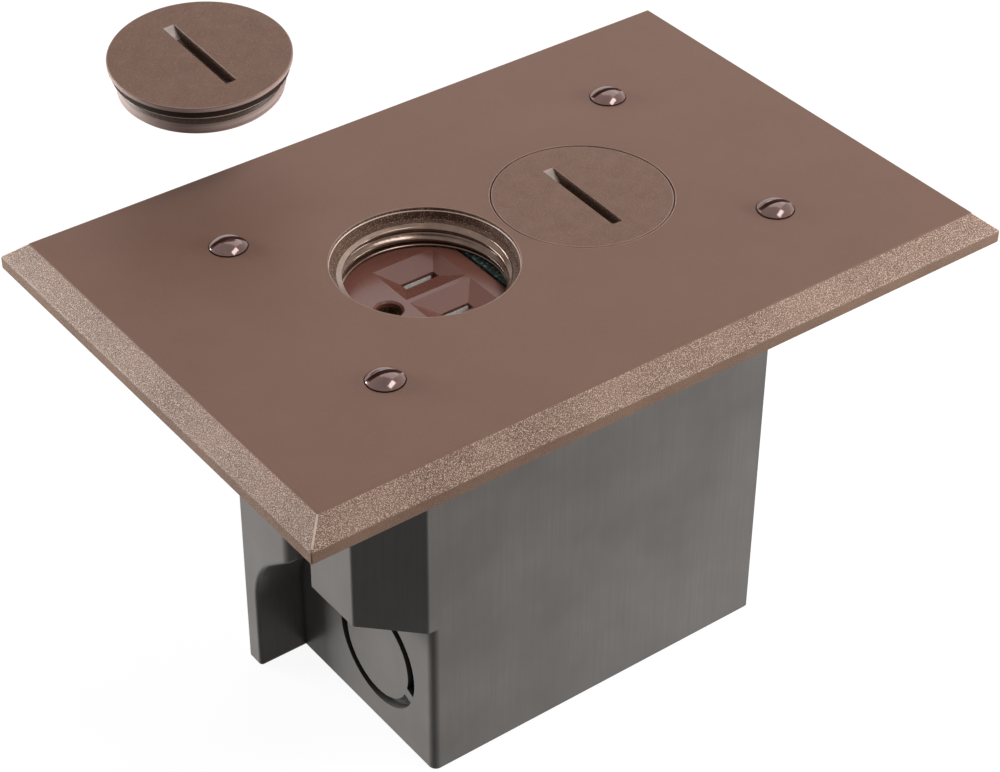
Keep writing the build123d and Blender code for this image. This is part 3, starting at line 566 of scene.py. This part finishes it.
def plate_edge(s):
    """The plate's outside, from its flat top round to the pocket below; gives the row at each end."""
    slope = math.atan2(BEVEL_DROP, BEVEL_WIDTH)

    def outline(inset, z):
        return rectangle(PLATE_X - inset, PLATE_Y - inset, PLATE_CORNER, z)

    soft = EDGE_SOFTNESS
    top = s.row(outline(BEVEL_WIDTH + soft * 0.55, PLATE_TOP))
    last = s.extend(top, [
        outline(BEVEL_WIDTH + soft * 0.15, PLATE_TOP - soft * 0.08),
        outline(BEVEL_WIDTH - soft * 0.45, PLATE_TOP - soft * 0.45),
    ], plate_mat)
    # The bevel's narrow corner faces take a painted highlight.
    last = s.extend(last, [
        outline(soft * math.cos(slope), EDGE_TOP + soft * math.sin(slope)),
    ], bevel_mat, highlight_mat)
    last = s.extend(last, [
        outline(soft * 0.3, EDGE_TOP + soft * 0.12),
        outline(0.0, EDGE_TOP - soft * 0.5),
    ], bevel_mat)
    last = s.extend(last, [
        outline(0.0, EDGE_BOTTOM + 0.35),
        outline(0.1, EDGE_BOTTOM + 0.08),
        outline(0.4, EDGE_BOTTOM),
        outline(SKIRT_WIDTH - 0.2, EDGE_BOTTOM),
    ], edge_mat)
    pocket = s.extend(last, [
        outline(SKIRT_WIDTH, EDGE_BOTTOM + 0.2),
        outline(SKIRT_WIDTH, PLATE_UNDERSIDE),
    ], plate_mat)
    return top, pocket


def plate_opening(s, x):
    """An opening, from its raised rim down the thread and up the outside of its collar."""
    def ring(radius, z):
        return circle(radius, z, OPENING_FACETS, x)

    # The raised rim takes a painted highlight.
    rim = s.row(ring(SEAT_RADIUS + 0.34, PLATE_TOP))
    last = s.extend(rim, [
        ring(SEAT_RADIUS + 0.26, PLATE_TOP + 0.05),
        ring(SEAT_RADIUS + 0.17, PLATE_TOP + 0.05),
        ring(SEAT_RADIUS + 0.11, PLATE_TOP),
        ring(SEAT_MOUTH, PLATE_TOP - 0.12),
    ], rim_highlight_mat)
    # The seat's wall and ledge, above and below the thin highlight, take painted shade.
    last = s.extend(last, [ring(SEAT_MOUTH, PLATE_TOP - 0.62)], seat_shade_mat)
    # A thin painted highlight runs round the seat's wall.
    last = s.extend(last, [
        ring(SEAT_RADIUS + 0.02, PLATE_TOP - 0.72),
        ring(SEAT_RADIUS, PLATE_TOP - 0.84),
    ], highlight_mat)
    last = s.extend(last, [
        ring(SEAT_RADIUS, SEAT_LEVEL + 0.25),
        ring(SEAT_RADIUS - 0.08, SEAT_LEVEL + 0.06),
        ring(SEAT_RADIUS - 0.3, SEAT_LEVEL),
        ring(THREAD_ROOT + 0.02, SEAT_LEVEL),
    ], seat_shade_mat)
    threads = thread_rows(
        (THREAD_ROOT, THREAD_CREST), (LIP_TOP + 0.3, SEAT_LEVEL - 0.12), THREAD_ROOT_LEVEL,
        THREAD_PITCH, form=(0.08, 1.0), fade=0.3, step=0.1, count=OPENING_FACETS, x=x,
    )
    last = s.extend(last, reversed(threads), thread_mat)
    last = s.extend(last, [
        ring(THREAD_ROOT, LIP_TOP + 0.2),
        ring(LIP_RADIUS + 0.2, LIP_TOP),
        ring(LIP_RADIUS, LIP_TOP - 0.2),
        ring(LIP_RADIUS, COLLAR_BOTTOM + 0.15),
        ring(LIP_RADIUS + 0.15, COLLAR_BOTTOM),
        ring(COLLAR_RADIUS - 0.3, COLLAR_BOTTOM),
    ], thread_mat)
    collar = s.extend(last, [
        ring(COLLAR_RADIUS, COLLAR_BOTTOM + 0.3),
        ring(COLLAR_RADIUS, PLATE_UNDERSIDE),
    ], plate_mat)
    return rim, collar


def countersink(s, x, y):
    """A cover screw's hole through the plate."""
    def hole(radius, z):
        return circle(radius, z, 48, x, y)

    # The countersink takes painted shade.
    rim = s.row(hole(COUNTERSINK_RADIUS, PLATE_TOP))
    end = s.extend(rim, [
        hole(COUNTERSINK_RADIUS - 0.11, PLATE_TOP - 0.1),
        hole(COVER_HOLE_RADIUS, PLATE_TOP - COUNTERSINK_DEPTH),
        hole(COVER_HOLE_RADIUS, PLATE_UNDERSIDE),
    ], recess_shade_mat)
    return rim, end


def cover_plate():
    """The plate with its two openings and four countersunk holes."""
    s = Shape()
    top, pocket = plate_edge(s)
    holes = [plate_opening(s, x) for x in (-OPENING_X, OPENING_X)]
    holes += [countersink(s, x, y) for x, y in COVER_SCREWS]
    s.flat(top, [rim for rim, end in holes], plate_mat)
    s.flat(pocket, [end for rim, end in holes], plate_mat)
    settle(s.as_object("cover_plate_visual"), "root", "cover_plate")


def plug_side(s):
    """A plug's disc edge, neck, bead and hollow foot; gives the row round the disc's flat top."""
    def ring(radius, depth):
        return circle(radius, -depth, PLUG_FACETS)

    top = s.row(ring(DISC_RADIUS - 0.3, 0.0))
    # The disc's rounded top rim takes a painted highlight.
    last = s.extend(top, [ring(DISC_RADIUS - 0.09, 0.05), ring(DISC_RADIUS, 0.22)], rim_highlight_mat)
    # The disc's edge takes painted light.
    last = s.extend(last, [
        ring(DISC_RADIUS, DISC_THICKNESS - 0.22),
        ring(DISC_RADIUS - 0.2, DISC_THICKNESS),
    ], plug_lit_side_mat)
    # The neck under the disc takes a painted shadow.
    last = s.extend(last, [
        ring(NECK_RADIUS, DISC_THICKNESS),
        ring(NECK_RADIUS, 2.68),
        ring(BEAD_RADIUS - 0.15, 2.84),
    ], neck_shadow_mat)
    # The bead takes a painted highlight.
    last = s.extend(last, [
        ring(BEAD_RADIUS, 2.92),
        ring(BEAD_RADIUS, 3.2),
        ring(BEAD_RADIUS - 0.15, 3.32),
    ], highlight_mat)
    # Below the bead the neck takes the painted shadow again.
    last = s.extend(last, [
        ring(NECK_RADIUS + 0.1, 3.6),
        ring(NECK_RADIUS + 0.1, 4.7),
        ring(FOOT_RADIUS - 0.2, HOLLOW_ROOF),
    ], neck_shadow_mat)
    # The foot and its hollow take painted light.
    foot = thread_rows(
        (FOOT_RADIUS, FOOT_RADIUS + FOOT_RIDGE), (0.3 - PLUG_HEIGHT, -HOLLOW_ROOF - 0.15),
        -FOOT_ROOT_DEPTH, THREAD_PITCH, form=(0.2, 0.9), fade=0.3, step=0.12, count=PLUG_FACETS,
    )
    last = s.extend(last, reversed(foot), plug_lit_side_mat)
    roof = s.extend(last, [
        ring(FOOT_RADIUS - 0.2, PLUG_HEIGHT - 0.08),
        ring(FOOT_RADIUS - 0.45, PLUG_HEIGHT),
        ring(HOLLOW_RADIUS + 0.3, PLUG_HEIGHT),
        ring(HOLLOW_RADIUS, PLUG_HEIGHT - 0.2),
        ring(HOLLOW_RADIUS, HOLLOW_ROOF + 0.2),
        ring(HOLLOW_RADIUS - 0.2, HOLLOW_ROOF),
    ], plug_lit_side_mat)
    s.face(roof, plug_mat)
    return top


def coin_slot(s):
    """A slot with a flat floor that sweeps up in an arc at each end; gives the row round its mouth."""
    half, width, soft = COIN_SLOT_HALF_LENGTH, COIN_SLOT_HALF_WIDTH, COIN_SLOT_SOFTNESS
    centre = COIN_SLOT_SWEEP - COIN_SLOT_DEPTH
    run = math.sqrt(COIN_SLOT_SWEEP ** 2 - centre ** 2)
    arc = []
    for k in range(COIN_SLOT_STEPS + 1):
        a = math.asin(run / COIN_SLOT_SWEEP) * (1 - k / COIN_SLOT_STEPS)
        arc.append((half - run + COIN_SLOT_SWEEP * math.sin(a), centre - COIN_SLOT_SWEEP * math.cos(a)))
    bottom = [(-y, z) for y, z in arc[1:]] + [(y, z) for y, z in reversed(arc[1:])]
    mouth = [(-1, -1), (1, -1), (1, 1), (-1, 1)]
    outer = s.row([(x * (width + soft), y * (half + soft), 0.0) for x, y in mouth])
    # The slot's mouth takes a painted highlight.
    inner = s.extend(outer, [[(x * width, y * half, -soft) for x, y in mouth]], rim_highlight_mat)
    left = [inner[0]] + s.row([(-width, y, z) for y, z in bottom]) + [inner[3]]
    right = [inner[1]] + s.row([(width, y, z) for y, z in bottom]) + [inner[2]]
    facets = len(left) - 1
    # The slot's walls and floor take painted shade.
    for i in range(facets):
        from_end = min(i, facets - 1 - i)
        # The facets nearest each end are the ramps, in painted light.
        mat = run_out_light_mat if from_end < COIN_SLOT_RUN_OUT_STEPS else slot_shade_mat
        s.face((left[i], left[i + 1], right[i + 1], right[i]), mat)
    s.face(left, slot_shade_mat)
    s.face(right, slot_shade_mat)
    return outer


def plug(cad, place, turn):
    """A plug, made about the middle of its top, then turned and put in its place."""
    s = Shape()
    top = plug_side(s)
    s.flat(top, [coin_slot(s)], plug_mat)
    obj = s.as_object(cad + "_visual", Matrix.Translation(Vector(place) * MM) @ turn)
    settle(obj, cad, cad)


def carve(obj, low, high, turn=0.0):
    """Cuts a box out of it; the box turns about the point between its lower and upper corners."""
    middle = (Vector(low) + Vector(high)) / 2
    reach = (Vector(high) - Vector(low)) / 2
    plan = [(-reach.x, -reach.y), (reach.x, -reach.y), (reach.x, reach.y), (-reach.x, reach.y)]
    s = Shape()
    bottom = s.row([(x, y, -reach.z) for x, y in plan])
    top = s.extend(bottom, [[(x, y, reach.z) for x, y in plan]], None)
    s.face(bottom, None)
    s.face(top, None)
    turned = Matrix.Rotation(math.radians(turn), 4, "Z")
    cutter = s.as_object("cutter", Matrix.Translation(middle * MM) @ turned)
    cut = obj.modifiers.new("cut", "BOOLEAN")
    cut.operation = "DIFFERENCE"
    cut.solver = "EXACT"
    cut.object = cutter
    bake(obj)
    bpy.data.objects.remove(cutter)


def closed(rows, mat):
    """A solid between its first and last rows."""
    s = Shape()
    first = s.row(rows[0])
    last = s.extend(first, rows[1:], mat)
    s.face(first, mat)
    s.face(last, mat)
    return s


def joined(objects, name):
    """Several pieces of one material as one mesh."""
    work = bmesh.new()
    mat = objects[0].data.materials[0]
    for obj in objects:
        work.from_mesh(obj.data)
        bpy.data.objects.remove(obj)
    mesh = bpy.data.meshes.new(name)
    work.to_mesh(mesh)
    work.free()
    mesh.materials.append(mat)
    return linked(name, mesh)


def cover_screws():
    """Four oval heads with their shanks, slotted alike."""
    profile = [
        (COVER_SCREW_RADIUS - 0.45, PLATE_TOP - COVER_SCREW_LENGTH),
        (COVER_SCREW_RADIUS, PLATE_TOP - COVER_SCREW_LENGTH + 0.7),
        (COVER_SCREW_RADIUS, PLATE_TOP - COVER_HEAD_CONE),
        (COVER_HEAD_RADIUS - 0.08, PLATE_TOP - 0.05),
        (COVER_HEAD_RADIUS + 0.05, PLATE_TOP + 0.08),
        (COVER_HEAD_RADIUS + 0.05, PLATE_TOP + 0.25),
    ]
    ball = (COVER_HEAD_RADIUS ** 2 + COVER_HEAD_DOME ** 2) / (2 * COVER_HEAD_DOME)
    for k in range(1, COVER_DOME_STEPS + 1):
        r = COVER_HEAD_RADIUS * math.cos(math.pi / 2 * k / (COVER_DOME_STEPS + 0.5))
        profile.append((r, COVER_HEAD_TOP - ball + math.sqrt(ball ** 2 - r ** 2)))
    heads = []
    for x, y in COVER_SCREWS:
        rows = [circle(r, z, 64, x, y) for r, z in profile]
        head = closed(rows, screw_mat).as_object("head", smooth=30)
        carve(
            head, (x - 5, y - COVER_SLOT_HALF_WIDTH, COVER_HEAD_TOP - COVER_SLOT_DEPTH),
            (x + 5, y + COVER_SLOT_HALF_WIDTH, COVER_HEAD_TOP + 1), COVER_SLOT_TURN,
        )
        heads.append(head)
    obj = joined(heads, "cover_screws_visual")
    shade(obj.data, 30)
    settle(obj, "root", "cover_screws")


def clamp_screw(side):
    """The long screw of a clamp: tapered point, thread, plain shank and slotted head."""
    cad = side + "_clamp_screw"
    low, high = corners(cad)
    x, y = (low.x + high.x) / 2, (low.y + high.y) / 2
    seat = high.z - CLAMP_HEAD_HEIGHT

    def rings(profile):
        return [circle(r, z, CLAMP_FACETS, x, y) for r, z in profile]

    rows = rings([(CLAMP_TIP_RADIUS, low.z), (CLAMP_ROOT, low.z + 0.6)])
    rows += thread_rows(
        (CLAMP_ROOT, CLAMP_CREST), (low.z + 0.8, seat - CLAMP_SHANK_LENGTH - 0.3), 0.0, CLAMP_PITCH,
        form=(0.1, 0.95), fade=1.0, step=0.19, count=CLAMP_FACETS, x=x, y=y,
    )
    rows += rings([
        (CLAMP_SHANK_RADIUS, seat - CLAMP_SHANK_LENGTH),
        (CLAMP_SHANK_RADIUS, seat),
        (CLAMP_HEAD_RADIUS - 0.15, seat),
        (CLAMP_HEAD_RADIUS, seat + 0.15),
        (CLAMP_HEAD_RADIUS, high.z - 0.3),
        (CLAMP_HEAD_RADIUS - 0.3, high.z),
    ])
    obj = closed(rows, bolt_mat).as_object(cad + "_visual", smooth=35)
    carve(
        obj, (x - 4, y - CLAMP_SLOT_HALF_WIDTH, high.z - CLAMP_SLOT_DEPTH),
        (x + 4, y + CLAMP_SLOT_HALF_WIDTH, high.z + 1),
    )
    settle(obj, side + "_screw", cad)


cover_plate()
plug("right_plug", (OPENING_X, 0, PLATE_TOP), Matrix.Rotation(math.radians(SET_TURN), 4, "Z"))
heading = math.radians(LOOSE_TILT_HEADING)
tilt_axis = Vector((math.cos(heading), math.sin(heading), 0))
plug("left_plug", LOOSE_PLACE, Matrix.Rotation(math.radians(LOOSE_TILT), 4, tilt_axis))
cover_screws()
clamp_screw("left")
clamp_screw("right")


def looked_at(tree):
    """1 for rays from the camera and for those that gloss or glass sends on."""
    path = node(tree, "ShaderNodeLightPath")
    seen = path.outputs["Is Camera Ray"]
    for kind in ("Is Glossy Ray", "Is Transmission Ray"):
        either = node(tree, "ShaderNodeMath", operation="MAXIMUM")
        tree.links.new(seen, either.inputs[0])
        tree.links.new(path.outputs[kind], either.inputs[1])
        seen = either.outputs[0]
    return seen


def floor():
    """A wide floor just under the box: it looks white, takes shadows and throws back little light."""
    bpy.ops.mesh.primitive_plane_add(size=8, location=(0, 0, -0.0002))
    plane = bpy.context.object
    plane.name = "floor"
    mat = bpy.data.materials.new("pale_floor")
    mat.use_nodes = True
    tree = mat.node_tree
    tree.nodes.clear()
    diffuse = node(tree, "ShaderNodeBsdfDiffuse", Color=(0.12, 0.12, 0.12, 1))
    glow = node(tree, "ShaderNodeEmission", Color=(1, 1, 1, 1))
    tree.links.new(spread(tree, looked_at(tree), 0.0, 0.93, 0.0, 1.0), glow.inputs["Strength"])
    both = node(tree, "ShaderNodeAddShader")
    out = node(tree, "ShaderNodeOutputMaterial")
    tree.links.new(diffuse.outputs[0], both.inputs[0])
    tree.links.new(glow.outputs[0], both.inputs[1])
    tree.links.new(both.outputs[0], out.inputs["Surface"])
    plane.data.materials.append(mat)


def world():
    """White to look at and in reflections, and only a faint light on the object."""
    studio = bpy.data.worlds.new("studio")
    bpy.context.scene.world = studio
    studio.use_nodes = True
    tree = studio.node_tree
    tree.nodes.clear()
    back = node(tree, "ShaderNodeBackground", Color=(1, 1, 1, 1))
    tree.links.new(spread(tree, looked_at(tree), 0.1, 1.0, 0.0, 1.0), back.inputs["Strength"])
    out = node(tree, "ShaderNodeOutputWorld")
    tree.links.new(back.outputs[0], out.inputs["Surface"])


def lamp(name, place, target, width, height, level):
    """A soft lamp, in metres, that lights its target to about that level."""
    data = bpy.data.lights.new(name, "AREA")
    data.shape = "RECTANGLE"
    data.size = width
    data.size_y = height
    offset = Vector(place) - Vector(target)
    data.energy = level * math.pi ** 2 * offset.length ** 2
    obj = linked(name, data)
    obj.location = place
    obj.rotation_euler = offset.to_track_quat("Z", "Y").to_euler()


def camera(place, azimuth, elevation, roll, lens):
    """A camera for angles in degrees; azimuth 0 looks along +Y, and it looks down by its elevation."""
    azimuth, elevation, roll = (math.radians(v) for v in (azimuth, elevation, roll))
    flat = math.cos(elevation)
    back = Vector((math.sin(azimuth) * flat, -math.cos(azimuth) * flat, math.sin(elevation)))
    level = Vector((math.cos(azimuth), math.sin(azimuth), 0))
    upright = back.cross(level)
    right = math.cos(roll) * level + math.sin(roll) * upright
    up = math.cos(roll) * upright - math.sin(roll) * level
    data = bpy.data.cameras.new("camera")
    data.sensor_width = 36.0
    data.lens = lens
    data.clip_start = 0.01
    obj = linked("camera", data)
    pose = Matrix((right, up, back)).transposed().to_4x4()
    pose.translation = Vector(place) * MM
    obj.matrix_world = pose
    bpy.context.scene.camera = obj


# In plan the two side lamps stand about square to the line of sight, so the tower's chamfer stays dark
floor()
world()
lamp("left_softbox", (-0.56, 0.7, 0.11), (0, 0, 0.06), 0.5, 0.5, 2.0)
lamp("right_softbox", (0.4, -0.29, 0.13), (0, 0, 0.06), 0.3, 0.3, 1.3)
lamp("top_softbox", (0.22, -0.4, 1.0), (0, 0, 0.1), 0.6, 0.28, 0.48)
lamp("back_softbox", (0.5, 0.45, 0.85), (0, 0, 0.1), 0.9, 0.9, 0.32)
camera((-258.0, -339.18, 395.05), azimuth=-37.16, elevation=37.43, roll=0.46, lens=93.58)
bpy.context.scene.view_settings.view_transform = "Standard"
